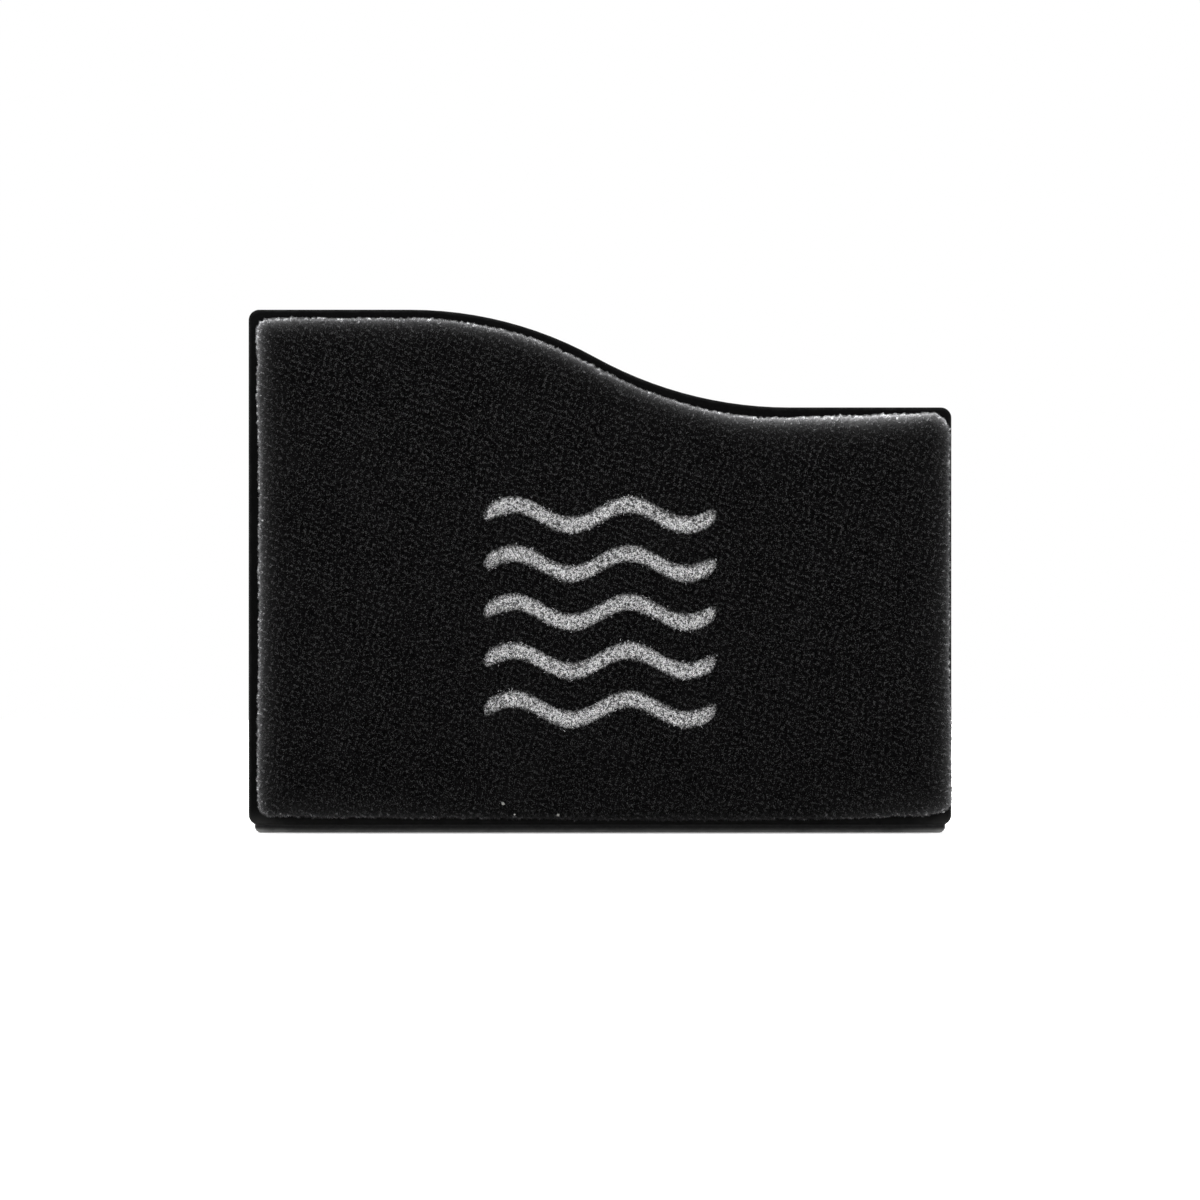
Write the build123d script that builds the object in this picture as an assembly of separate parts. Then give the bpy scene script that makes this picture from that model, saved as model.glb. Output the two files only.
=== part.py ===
from build123d import *
import os
from math import acos, degrees, sin

# Hand-held board eraser with a wave-shaped top edge, in millimetres.
# It stands on its long straight edge: +X runs along that edge, +Z is up, the wiping pad
# faces -Y and the grip faces +Y. Height zero is the flat foot of the grip shell.

# Carrier plate: the thin flange that frames the pad
plate_width = 110.0
plate_height = 80.7
plate_thickness = 2.5
plate_corner_radius = 1.65
plate_edge_round = 0.45

# Wave along the top edge: a crest arc running down into a dip arc
wave_start = 25.3
crest_radius = 60.0
dip_radius = 63.0
wave_drop = 15.3

# Grip shell: a drafted, hollow moulding behind the plate
shell_depth = 20.0
shell_inset = 0.9
foot_drop = 1.25
draft_angle = 1.5
side_wall = 2.0
back_wall = 2.4
shoulder_radius = 6.0
back_round = 4.0
foot_round = 1.0
cavity_corner_radius = 4.0

# Ribs and screw bosses inside the shell
rib_thickness = 1.4
rib_height = 4.0
boss_diameter = 7.0
boss_edge_distance = 10.0

# Self-tapping countersunk screws that hold the plate to the shell
screw_head_diameter = 5.6
screw_core_diameter = 2.4
screw_length = 10.0
head_sink = 0.15
seat_clearance = 0.05
plate_hole_clearance = 0.4
pilot_clearance = 0.05
pilot_spare_depth = 1.5

# Locating rim on the back of the plate, which drops inside the shell
rim_thickness = 1.5
rim_height = 2.0
rim_clearance = 0.25

# Two disc magnets in collars on the back of the plate, pressed home by posts in the shell
magnet_diameter = 16.0
magnet_thickness = 4.0
magnet_spacing = 54.0
magnet_height = 36.0
collar_wall = 1.4
collar_height = 3.0
magnet_clearance = 0.15
post_diameter = 8.0
post_clearance = 0.1

# Pad: a cloth cover drawn over a foam core and a stiff board, its hem turned in behind
pad_gap_left = 1.2
pad_gap_right = 0.2
pad_gap_top = 1.2
pad_gap_bottom = 1.1
pad_corner_radius = 2.4
pad_edge_round = 2.0
cloth_thickness = 1.2
foam_thickness = 4.5
board_thickness = 1.0
hem_thickness = 0.8
hem_width = 7.0
layer_clearance = 0.15

# Positions along Y, counted from the wiping face back to the grip
pad_thickness = cloth_thickness + foam_thickness + board_thickness + hem_thickness
total_depth = pad_thickness + plate_thickness + shell_depth
face_y = -total_depth / 2
foam_front_y = face_y + cloth_thickness
board_front_y = foam_front_y + foam_thickness
hem_front_y = board_front_y + board_thickness
plate_front_y = hem_front_y + hem_thickness
plate_back_y = plate_front_y + plate_thickness
back_y = plate_back_y + shell_depth
cavity_back_y = back_y - back_wall

# Heights of the plate's edges above the foot
plate_base = foot_drop
high_top = plate_base + plate_height
low_top = high_top - wave_drop
wave_angle = acos(1 - wave_drop / (crest_radius + dip_radius))


def slab(y_front, y_back, face):
    """Solid with a face drawn in X and Z, from one depth back to another."""
    return extrude(Plane.XZ.offset(-y_back) * face, y_back - y_front)


def drafted_slab(y_front, y_back, face):
    """Slab that narrows towards the back by the draft angle.

    It is drawn lying flat, turned up and then mirrored, so that it runs back from the face.
    """
    block = extrude(face, y_back - y_front, taper=draft_angle)
    return Pos(0, y_front, 0) * mirror(Rot(90, 0, 0) * block, Plane.XZ)


def corner(x, z, radius, start):
    """Quarter round of a corner, which a radius of zero leaves sharp."""
    return [CenterArc((x, z), radius, start, 90)] if radius > 0 else []


def wave_face(left_inset, right_inset, top_inset, base, low_radius, high_radius):
    """Outline with the wave on top, set in from the plate's sides and top.

    The two corners at the base have one radius and the two at the top another.
    """
    left = -plate_width / 2 + left_inset
    right = plate_width / 2 - right_inset
    high = high_top - top_inset
    low = low_top - top_inset
    crest_x = wave_start - plate_width / 2
    dip_x = crest_x + (crest_radius + dip_radius) * sin(wave_angle)
    crest = crest_radius - top_inset
    dip = dip_radius + top_inset
    turn = degrees(wave_angle)
    edges = [
        Line((left + low_radius, base), (right - low_radius, base)),
        *corner(right - low_radius, base + low_radius, low_radius, 270),
        Line((right, base + low_radius), (right, low - high_radius)),
        *corner(right - high_radius, low - high_radius, high_radius, 0),
        Line((right - high_radius, low), (dip_x, low)),
        CenterArc((dip_x, low + dip), dip, 270, -turn),
        CenterArc((crest_x, high - crest), crest, 90 - turn, turn),
        Line((crest_x, high), (left + high_radius, high)),
        *corner(left + high_radius, high - high_radius, high_radius, 90),
        Line((left, high - high_radius), (left, base + low_radius)),
        *corner(left + low_radius, base + low_radius, low_radius, 180),
    ]
    return make_face(edges)


def screw_points():
    """Places of the four screws, one near each corner."""
    side = plate_width / 2 - boss_edge_distance
    low = plate_base + boss_edge_distance
    return [
        (-side, low),
        (side, low),
        (side, low_top - boss_edge_distance),
        (-side, high_top - boss_edge_distance),
    ]


def magnet_points():
    """Places of the two magnets, side by side."""
    return [(-magnet_spacing / 2, magnet_height), (magnet_spacing / 2, magnet_height)]


def discs(diameter, points):
    """Round faces at the given places."""
    return [Pos(x, z) * Circle(diameter / 2) for x, z in points]


def shell_block():
    """Outside of the grip shell, trimmed flat at its foot and rounded for the hand."""
    below = -shell_depth
    face = wave_face(shell_inset, shell_inset, shell_inset, below, 0, shoulder_radius)
    block = drafted_slab(plate_back_y, back_y, face)
    block = split(block, Plane.XY, keep=Keep.TOP)
    back_edges = block.faces().sort_by(Axis.Y)[-1].edges().sort_by(Axis.Z)
    block = fillet(back_edges[1:], back_round)
    foot_edges = block.faces().sort_by(Axis.Z)[0].edges()
    return fillet(foot_edges, foot_round)


def shell_cavity():
    """Hollow of the grip shell, one wall inside its outside."""
    inset = shell_inset + side_wall
    radius = cavity_corner_radius
    face = wave_face(inset, inset, inset, side_wall, radius, radius)
    return drafted_slab(plate_back_y, cavity_back_y, face)


def rib_grid():
    """Low ribs across the inside of the back, crossing at the bosses."""
    middle_y = cavity_back_y - rib_height / 2
    span = 2 * (plate_width + plate_height)
    columns = sorted({x for x, z in screw_points()})
    rows = sorted({z for x, z in screw_points()})
    ribs = [Pos(x, middle_y, 0) * Box(rib_thickness, rib_height, span) for x in columns]
    ribs += [Pos(0, middle_y, z) * Box(span, rib_height, rib_thickness) for z in rows]
    return ribs


def grip_shell():
    """Moulded grip with its ribs, screw bosses and magnet posts."""
    cavity = shell_cavity()
    post_front_y = plate_back_y + magnet_thickness + post_clearance
    inner = Part() + rib_grid()
    for disc in discs(boss_diameter, screw_points()):
        inner += slab(plate_back_y, cavity_back_y, disc)
    for disc in discs(post_diameter, magnet_points()):
        inner += slab(post_front_y, cavity_back_y, disc)
    shell = shell_block() - cavity + (inner & cavity)
    pilot_diameter = screw_core_diameter + 2 * pilot_clearance
    pilot_end_y = plate_front_y + screw_length + pilot_spare_depth
    for disc in discs(pilot_diameter, screw_points()):
        shell -= slab(plate_back_y, pilot_end_y, disc)
    return shell


def countersink(head_diameter, core_diameter, y):
    """Right-angled cone of a countersunk head, its wide end facing the pad at a given depth."""
    depth = (head_diameter - core_diameter) / 2
    cone = Cone(core_diameter / 2, head_diameter / 2, depth)
    return Pos(0, y + depth / 2, 0) * Rot(90, 0, 0) * cone


def locating_rim():
    """Low rim that follows the inside of the shell's wall."""
    outer = shell_inset + side_wall + rim_clearance
    inner = outer + rim_thickness
    base = side_wall + rim_clearance
    radius = cavity_corner_radius - rim_clearance
    ring = wave_face(outer, outer, outer, base, radius, radius)
    radius -= rim_thickness
    ring -= wave_face(inner, inner, inner, base + rim_thickness, radius, radius)
    return slab(plate_back_y, plate_back_y + rim_height, ring)


def pad_plate():
    """Carrier plate with its locating rim, magnet collars and countersunk holes."""
    radius = plate_corner_radius
    face = wave_face(0, 0, 0, plate_base, radius, radius)
    plate = slab(plate_front_y, plate_back_y, face)
    sides = plate.faces().sort_by(Axis.Y)
    plate = fillet(sides[0].edges(), plate_edge_round)
    plate += locating_rim()
    pocket_diameter = magnet_diameter + 2 * magnet_clearance
    collar_diameter = pocket_diameter + 2 * collar_wall
    collar_back_y = plate_back_y + collar_height
    pockets = discs(pocket_diameter, magnet_points())
    for collar, pocket in zip(discs(collar_diameter, magnet_points()), pockets):
        plate += slab(plate_back_y, collar_back_y, collar - pocket)
    hole_diameter = screw_core_diameter + 2 * plate_hole_clearance
    mouth_diameter = screw_head_diameter + 2 * (head_sink + seat_clearance)
    mouth = countersink(mouth_diameter, hole_diameter, plate_front_y)
    for (x, z), hole in zip(screw_points(), discs(hole_diameter, screw_points())):
        plate -= slab(plate_front_y, plate_back_y, hole)
        plate -= Pos(x, 0, z) * mouth
    return plate


def plate_screw():
    """One countersunk screw, centred on the Y axis."""
    head_y = plate_front_y + head_sink
    screw = countersink(screw_head_diameter, screw_core_diameter, head_y)
    screw += slab(head_y, plate_front_y + screw_length, Circle(screw_core_diameter / 2))
    return screw


def plate_screws():
    """The four screws at their places."""
    screw = plate_screw()
    return Compound(children=[Pos(x, 0, z) * screw for x, z in screw_points()])


def magnet(x, z):
    """Disc magnet, flat against the back of the plate."""
    disc = Pos(x, z) * Circle(magnet_diameter / 2)
    return slab(plate_back_y, plate_back_y + magnet_thickness, disc)


def pad_face(inset, radius):
    """Outline of the pad, set in all round by a given amount."""
    left = pad_gap_left + inset
    right = pad_gap_right + inset
    top = pad_gap_top + inset
    base = plate_base + pad_gap_bottom + inset
    return wave_face(left, right, top, base, radius, radius)


def pile_cover():
    """Cloth cover: front with its rounded edge, sides and the hem turned in behind the board."""
    cover = slab(face_y, plate_front_y, pad_face(0, pad_corner_radius))
    cover = fillet(cover.faces().sort_by(Axis.Y)[0].edges(), pad_edge_round)
    inner_radius = pad_corner_radius - cloth_thickness
    cover -= slab(foam_front_y, hem_front_y, pad_face(cloth_thickness, inner_radius))
    cover -= slab(hem_front_y, plate_front_y, pad_face(hem_width, pad_corner_radius))
    return cover


def filling(y_front, y_back):
    """Layer that fills the cover from side to side."""
    radius = pad_corner_radius - cloth_thickness
    return slab(y_front, y_back, pad_face(cloth_thickness + layer_clearance, radius))


def adhesive_sheet():
    """Double-sided sheet that fills the opening of the hem and holds the pad on the plate."""
    face = pad_face(hem_width + layer_clearance, pad_corner_radius)
    return slab(hem_front_y, plate_front_y, face)


def main():
    """Build every piece and write one STEP file for each."""
    pieces = {
        "grip_shell": grip_shell(),
        "pad_plate": pad_plate(),
        "plate_screws": plate_screws(),
        "adhesive_sheet": adhesive_sheet(),
        "backing_board": filling(board_front_y, hem_front_y),
        "foam_core": filling(foam_front_y, board_front_y),
        "pile_cover": pile_cover(),
    }
    for side, (x, z) in zip(["left", "right"], magnet_points()):
        pieces["magnet_" + side] = magnet(x, z)
    os.makedirs("parts", exist_ok=True)
    for name, piece in pieces.items():
        export_step(piece, "parts/" + name + ".step")


main()
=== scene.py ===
import math

import bmesh
import bpy
import numpy as np
from bpy.props import FloatProperty, FloatVectorProperty, IntProperty, PointerProperty
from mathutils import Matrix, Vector


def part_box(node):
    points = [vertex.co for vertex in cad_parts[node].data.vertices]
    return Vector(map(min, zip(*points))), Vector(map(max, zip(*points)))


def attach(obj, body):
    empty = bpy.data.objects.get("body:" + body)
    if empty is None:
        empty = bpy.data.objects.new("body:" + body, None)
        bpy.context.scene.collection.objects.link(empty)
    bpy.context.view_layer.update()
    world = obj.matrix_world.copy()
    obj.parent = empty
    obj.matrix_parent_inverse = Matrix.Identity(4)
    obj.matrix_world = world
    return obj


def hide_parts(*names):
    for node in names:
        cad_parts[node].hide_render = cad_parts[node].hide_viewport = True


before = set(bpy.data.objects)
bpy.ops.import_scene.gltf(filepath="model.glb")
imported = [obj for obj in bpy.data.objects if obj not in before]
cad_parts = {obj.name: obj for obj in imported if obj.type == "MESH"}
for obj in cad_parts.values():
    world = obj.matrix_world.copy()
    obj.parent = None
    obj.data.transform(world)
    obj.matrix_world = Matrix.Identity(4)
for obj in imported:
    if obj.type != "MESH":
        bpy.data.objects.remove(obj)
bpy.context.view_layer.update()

bl_info = {
    "name": "Board Eraser",
    "version": (1, 0, 0),
    "blender": (4, 5, 0),
    "location": "View3D > Sidebar > Eraser",
    "description": "Dresses a board eraser: plastic grip and plate, cloth pad with its nap, and the stage",
    "category": "Object",
}

MM = 0.001
TINY = 1e-6
BODY = "root"


# ------------ settings


def length(name, description, default_mm, low_mm=0.0, high_mm=200.0):
    """A size in metres, shown in the scene's own units."""
    return FloatProperty(
        name=name, description=description, default=default_mm * MM,
        min=low_mm * MM, max=high_mm * MM, precision=5, subtype="DISTANCE", unit="LENGTH",
    )


def colour(name, description, default):
    """A colour, red, green and blue in linear light."""
    return FloatVectorProperty(
        name=name, description=description, default=default,
        size=3, min=0.0, max=1.0, subtype="COLOR",
    )


def share(name, description, default, high=1.0):
    """A plain number from nothing up to a limit."""
    return FloatProperty(
        name=name, description=description, default=default, min=0.0, max=high, subtype="FACTOR",
    )


class EraserPlasticSettings(bpy.types.PropertyGroup):
    """Moulded plastic of the grip and the plate."""

    grip_colour: colour("Grip colour", "Colour of the grip's plastic", (0.01, 0.01, 0.0104))
    plate_colour: colour("Plate colour", "Colour of the plate's plastic", (0.0017, 0.0017, 0.0018))
    wear_colour: colour("Wear colour", "Colour of rubbed edges", (0.05, 0.05, 0.051))
    grip_roughness: share("Grip roughness", "Roughness of the grip's textured skin", 0.45)
    plate_roughness: share("Plate roughness", "Roughness of the plate's smooth skin", 0.6)
    grain_size: length("Grain size", "Width of one grain of the moulded texture", 0.75, 0.05, 2.0)
    grain_depth: length("Grain depth", "Height of the moulded texture", 0.05, 0.0, 0.2)


class EraserPadSettings(bpy.types.PropertyGroup):
    """Cloth pad: its shape, its nap and its print."""

    edge_round: length("Edge width", "How far the rounded edge reaches in from the side", 2.6, 0.5, 6.0)
    edge_depth: length("Edge depth", "How far the rounded edge reaches back", 2.2, 0.5, 6.0)
    crown: length("Crown", "How much the middle stands in front of the rim", 0.25, 0.0, 2.0)
    wobble: length("Edge wobble", "Waviness of the cut edge", 0.11, 0.0, 1.0)
    tuft_size: length("Tuft size", "From one tuft of the nap to the next", 1.05, 0.2, 5.0)
    tuft_height: length("Tuft height", "How far the cloth rises under a tuft", 0.06, 0.0, 0.5)
    nap_count: IntProperty(
        name="Nap fibres", description="Number of fibres on the pad", default=132000, min=1000, max=400000,
    )
    nap_length: length("Nap length", "Longest fibre", 0.62, 0.1, 3.0)
    nap_width: length("Nap width", "Width of a fibre at its root", 0.16, 0.02, 0.5)
    nap_reach: length("Nap reach", "How far the nap stands past the cloth at the cut edge", 0.38, 0.0, 1.0)
    cloth_colour: colour("Cloth colour", "Darkest colour of the cloth", (0.0006, 0.0006, 0.00065))
    tuft_colour: colour("Tuft colour", "Colour of the lighter tufts", (0.0285, 0.0285, 0.0292))
    # The rim colour is the colour of a painted highlight on the nap round the pad's rim.
    rim_highlight_colour: colour("Rim colour", "Colour of the rubbed nap round the rim", (0.34, 0.34, 0.345))
    print_colour: colour("Print colour", "Colour of the printed lines", (0.75, 0.75, 0.75))
    print_size: length("Print size", "Side of the square that the printed lines fill", 36.0, 5.0, 60.0)
    print_height: length("Print height", "Height of the print's middle above the foot", 34.6, 0.0, 80.0)
    print_stroke: length("Print stroke", "Width of a printed line", 2.5, 0.5, 8.0)
    print_lines: IntProperty(
        name="Print lines", description="Number of printed lines", default=5, min=1, max=9,
    )


class EraserStageSettings(bpy.types.PropertyGroup):
    """Floor, lamps and camera."""

    floor_size: length("Floor size", "Side of the floor", 3000.0, 500.0, 20000.0)
    camera_distance: length("Camera distance", "From the plate's face to the camera", 1600.0, 300.0, 5000.0)
    view_width: length("View width", "Width seen at the plate", 187.8, 50.0, 1000.0)
    view_height: length("View height", "Height of the camera above the floor", 36.5, 0.0, 500.0)
    top_light: share("Top light", "Strength of the lamp overhead", 1.0, 10.0)
    front_light: share("Front light", "Strength of the lamps in front and of the one behind", 1.0, 10.0)
    side_light: share("Side light", "Strength of the lamps at the sides", 1.0, 10.0)
    room_light: share("Room light", "Strength of the light from all round", 0.35, 4.0)


# ------------ nodes


def feed(tree, socket, value):
    """Links a socket to another node's output, or else gives it a plain value."""
    if isinstance(value, bpy.types.NodeSocket):
        tree.links.new(value, socket)
    else:
        socket.default_value = value


def add(tree, kind, inputs=None, **settings):
    """Adds a node with its settings and feeds its inputs."""
    made = tree.nodes.new(kind)
    for name, value in settings.items():
        setattr(made, name, value)
    for name, value in (inputs or {}).items():
        feed(tree, made.inputs[name], value)
    return made


def sums(tree, operation, *values):
    """Adds a Math node and gives its output."""
    return add(tree, "ShaderNodeMath", dict(enumerate(values)), operation=operation).outputs[0]


def plus(tree, first, second):
    """Adds two values."""
    return sums(tree, "ADD", first, second)


def minus(tree, first, second):
    """Takes the second value from the first."""
    return sums(tree, "SUBTRACT", first, second)


def times(tree, product, *values):
    """Multiplies values, one after another."""
    for value in values:
        product = sums(tree, "MULTIPLY", product, value)
    return product


def span(tree, value, low, high, to_low=0.0, to_high=1.0, smooth=False):
    """Maps a range of values to another, held at both ends."""
    return add(
        tree, "ShaderNodeMapRange",
        {"Value": value, "From Min": low, "From Max": high, "To Min": to_low, "To Max": to_high},
        interpolation_type="SMOOTHSTEP" if smooth else "LINEAR",
    ).outputs["Result"]


def scaled(base, factor):
    """Values multiplied by one factor, such as a colour made darker or lighter."""
    return [value * factor for value in base]


def opaque(value):
    """A colour with its alpha. Another node's output passes as it is."""
    return value if isinstance(value, bpy.types.NodeSocket) else (*value[:3], 1.0)


def mixed(tree, amount, first, second, blend="MIX"):
    """Mixes two colours and gives the output."""
    inputs = {0: amount, 6: opaque(first), 7: opaque(second)}
    return add(tree, "ShaderNodeMix", inputs, data_type="RGBA", blend_type=blend).outputs[2]


def grey(tree, tone):
    """A grey whose tone is another node's output."""
    return add(tree, "ShaderNodeCombineColor", dict.fromkeys(range(3), tone)).outputs[0]


def noise(tree, place, scale, detail=2.0, roughness=0.5, distortion=0.0):
    """Noise over a place in millimetres, from 0 to 1."""
    return add(
        tree, "ShaderNodeTexNoise",
        {"Vector": place, "Scale": scale, "Detail": detail, "Roughness": roughness,
         "Distortion": distortion},
    ).outputs["Fac"]


# ------------ effects

EDGE_WEAR = 0.6 * MM  # how far rubbing reaches in from an edge


def draw_grain_with_painted_shade(group, given):
    """Fine pebbled texture that a mould leaves on plastic, its pebbles painted a little paler than its
    valleys as painted highlight and painted shade.
    """
    density = sums(group, "DIVIDE", 1.0, given["Grain Size"])
    cells = add(group, "ShaderNodeTexVoronoi", {"Vector": given["Place"], "Scale": density})
    pebbles = span(group, cells.outputs["Distance"], 0.65, 0.15, smooth=True)
    fine = noise(group, given["Place"], times(group, density, 2.0), 1.0)
    return {
        "Height": plus(group, pebbles, times(group, fine, 0.5)),
        # Painted highlight on the pebbles and painted shade in the valleys.
        "Shade": span(group, pebbles, 0.0, 1.0, 0.6, 1.3),
    }


def draw_wear(group, given):
    """Mask of outer edges that hands and tables have rubbed, and the normal of an edge rubbed round."""
    rounded = add(group, "ShaderNodeBevel", {"Radius": given["Width"]}, samples=6).outputs["Normal"]
    sharp = add(group, "ShaderNodeNewGeometry").outputs["Normal"]
    facing = add(group, "ShaderNodeVectorMath", {0: rounded, 1: sharp}, operation="DOT_PRODUCT")
    edge = span(group, facing.outputs["Value"], 0.995, 0.9)
    broken = span(group, noise(group, given["Place"], 0.7, 5.0, 0.7), 0.42, 0.66)
    return {"Mask": times(group, edge, broken), "Normal": rounded}


def draw_dust_and_foot_light(group, given):
    """Flecks and a thin film of chalk dust, most of it facing up, and painted light in a band at the foot,
    brighter towards its ends, which the mask carries too and which is also given on its own.
    """
    normal = add(group, "ShaderNodeNewGeometry").outputs["Normal"]
    up = add(group, "ShaderNodeSeparateXYZ", {0: normal}).outputs["Z"]
    settled = span(group, up, -0.2, 0.9, 0.35, 1.0)
    flecks = add(group, "ShaderNodeTexVoronoi", {"Vector": given["Place"], "Scale": 0.9}).outputs
    dot = span(group, flecks["Distance"], 0.05, 0.12, 1.0, 0.0)
    chance = add(group, "ShaderNodeSeparateColor", {0: flecks["Color"]}).outputs[0]
    kept = sums(group, "GREATER_THAN", chance, 0.93)
    film = span(group, noise(group, given["Place"], 0.11, 6.0, 0.7), 0.5, 0.85, 0.0, 0.3)
    dust = times(group, plus(group, times(group, dot, kept), film), settled, given["Amount"])
    parts = add(group, "ShaderNodeSeparateXYZ", {0: given["Place"]}).outputs
    # Painted light in a band at the foot, strongest at the very bottom and gone at the foot height.
    lowest = times(group, given["Foot Height"], 0.35)
    low = sums(group, "POWER", span(group, parts["Z"], given["Foot Height"], lowest), 2.2)
    # The painted light is brighter towards both ends: a painted highlight on the rounded corners.
    ends = span(group, sums(group, "ABSOLUTE", parts["X"]), 47.0, 53.0, 1.0, 1.8)
    uneven = span(group, noise(group, given["Place"], 0.35, 4.0, 0.6), 0.3, 0.6, 0.6, 1.0)
    painted_foot_light = times(group, low, ends, uneven, given["Foot"])
    return {"Mask": plus(group, dust, times(group, painted_foot_light, 0.9)), "Painted Foot Light": painted_foot_light}


def draw_fibre(group, given):
    """Clumps and curling strands of matted fibre, as a shade from 0 to 1 and a height."""
    density = sums(group, "DIVIDE", 1.0, given["Clump Size"])
    clumps = noise(group, given["Place"], density, 3.0, 0.6, 0.4)
    strands = noise(group, given["Place"], times(group, density, 1.3), 1.0, 0.5, 1.2)
    fine = noise(group, given["Place"], times(group, density, 2.6), 1.0)
    ridge = span(group, sums(group, "ABSOLUTE", minus(group, strands, 0.5)), 0.0, 0.07, 1.0, 0.0)
    clumped = times(group, span(group, clumps, 0.35, 0.72), span(group, fine, 0.35, 0.7))
    return {
        "Shade": plus(group, clumped, times(group, ridge, times(group, fine, 0.35))),
        "Height": plus(group, clumps, times(group, fine, 0.5)),
    }


# What draws each effect, its inputs with their defaults, and its outputs.
EFFECTS = {
    "Moulded grain with painted shade": (draw_grain_with_painted_shade, {"Place": None, "Grain Size": 0.2}, ("Height", "Shade")),
    "Edge wear": (draw_wear, {"Place": None, "Width": EDGE_WEAR}, ("Mask", "Normal")),
    "Chalk dust and painted foot light": (draw_dust_and_foot_light, {"Place": None, "Amount": 0.5, "Foot": 0.0, "Foot Height": 1.0},
                   ("Mask", "Painted Foot Light")),
    "Matted fibre": (draw_fibre, {"Place": None, "Clump Size": 0.5}, ("Shade", "Height")),
}


def effect(name):
    """The node group of an effect, drawn the first time that a material uses it."""
    if name in bpy.data.node_groups:
        return bpy.data.node_groups[name]
    draw, inputs, outputs = EFFECTS[name]
    group = bpy.data.node_groups.new(name, "ShaderNodeTree")
    for label in (*inputs, *outputs):
        kind = "NodeSocketVector" if label in ("Place", "Normal") else "NodeSocketFloat"
        way = "INPUT" if label in inputs else "OUTPUT"
        socket = group.interface.new_socket(label, in_out=way, socket_type=kind)
        if inputs.get(label) is not None:
            socket.default_value = inputs[label]
    start = group.nodes.new("NodeGroupInput")
    end = group.nodes.new("NodeGroupOutput")
    for label, value in draw(group, start.outputs).items():
        group.links.new(value, end.inputs[label])
    return group


def use(tree, name, inputs):
    """Places an effect in a material with its own values, and gives its outputs."""
    return add(tree, "ShaderNodeGroup", inputs, node_tree=effect(name)).outputs


# ------------ materials

GROUND_PAINTED_SHADE = 0.5  # the cloth between the tufts, against the tufts themselves: darker as painted shade deep in the nap
# Pale grey of chalk dust on plastic, also used for the painted light at the foot.
CHALK_AND_FOOT_LIGHT_TONE = (0.32, 0.32, 0.31)
CHALK_IN_CLOTH = (0.3, 0.3, 0.3)
PRINT_SWING = 1.6 * MM  # how far a printed line swings up and down
FACE_DEPTH = 1.5 * MM  # how far behind the pad's front the print may reach


def material(name):
    """An empty material with its Principled shader, and the place on the object in millimetres."""
    made = bpy.data.materials.new(name)
    made.use_nodes = True
    tree = made.node_tree
    shader = tree.nodes["Principled BSDF"]
    place = add(tree, "ShaderNodeTexCoord").outputs["Object"]
    place = add(tree, "ShaderNodeVectorMath", {0: place, "Scale": 1 / MM}, operation="SCALE").outputs[0]
    return made, tree, shader, place


def bumped(tree, height, depth, normal=None):
    """A normal bent by a height, with its depth in metres."""
    inputs = {"Height": height, "Distance": depth, "Strength": 1.0}
    if normal is not None:
        inputs["Normal"] = normal
    return add(tree, "ShaderNodeBump", inputs).outputs["Normal"]


def surface(tree, shader, inputs):
    """Feeds a material's own shader, with plain values for what is the same all over."""
    for name, value in inputs.items():
        feed(tree, shader.inputs[name], value)


def moulded_plastic(name, base, worn, roughness, gloss, grain_size, grain_depth, dust, painted_foot_light, painted_foot_light_height,
                    rounded):
    """Black plastic with a moulded grain painted darker in its valleys, rubbed edges, a little chalk dust,
    and painted light in a band at its foot under a thin glossy coat.
    """
    made, tree, shader, place = material(name)
    grain = use(tree, "Moulded grain with painted shade", {"Place": place, "Grain Size": grain_size / MM})
    wear = use(tree, "Edge wear", {"Place": place, "Width": EDGE_WEAR})
    chalk = use(tree, "Chalk dust and painted foot light", {"Place": place, "Amount": dust, "Foot": painted_foot_light,
                                     "Foot Height": painted_foot_light_height / MM})
    # The grain's shade multiplies the colour: painted highlight on the pebbles, painted shade in the valleys.
    shaded = mixed(tree, 1.0, base, grain["Shade"], "MULTIPLY")
    rubbed = mixed(tree, wear["Mask"], shaded, worn)
    handled = span(tree, noise(tree, place, 0.045, 5.0, 0.6), 0.35, 0.7, roughness - 0.05, roughness + 0.05)
    surface(tree, shader, {
        # The chalk mask carries the painted light at the foot as well as the dust.
        "Base Color": mixed(tree, chalk["Mask"], rubbed, CHALK_AND_FOOT_LIGHT_TONE),
        "Roughness": plus(tree, handled, times(tree, chalk["Mask"], 0.3)),
        "Normal": bumped(tree, grain["Height"], grain_depth, wear["Normal"] if rounded else None),
        # A thin glossy coat over the same band at the foot.
        "Coat Weight": times(tree, chalk["Painted Foot Light"], 1.4),
        "Coat Roughness": 0.2,
        "Specular IOR Level": gloss,
    })
    return made


def steel(name, base, roughness, scratch):
    """Plated steel with fine turning marks and a few dull spots."""
    made, tree, shader, place = material(name)
    stretched = add(tree, "ShaderNodeMapping", {"Vector": place, "Scale": (0.4, 6.0, 6.0)}).outputs[0]
    marks = noise(tree, stretched, 1.6, 4.0, 0.6)
    dull = span(tree, noise(tree, place, 0.5, 4.0, 0.6), 0.5, 0.75)
    rough = span(tree, marks, 0.3, 0.7, roughness * 0.7, roughness * 1.3)
    surface(tree, shader, {
        "Base Color": mixed(tree, dull, base, scaled(base, 0.55)),
        "Roughness": plus(tree, rough, times(tree, dull, 0.2)),
        "Normal": bumped(tree, marks, scratch),
        "Metallic": 1.0,
    })
    return made


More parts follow.
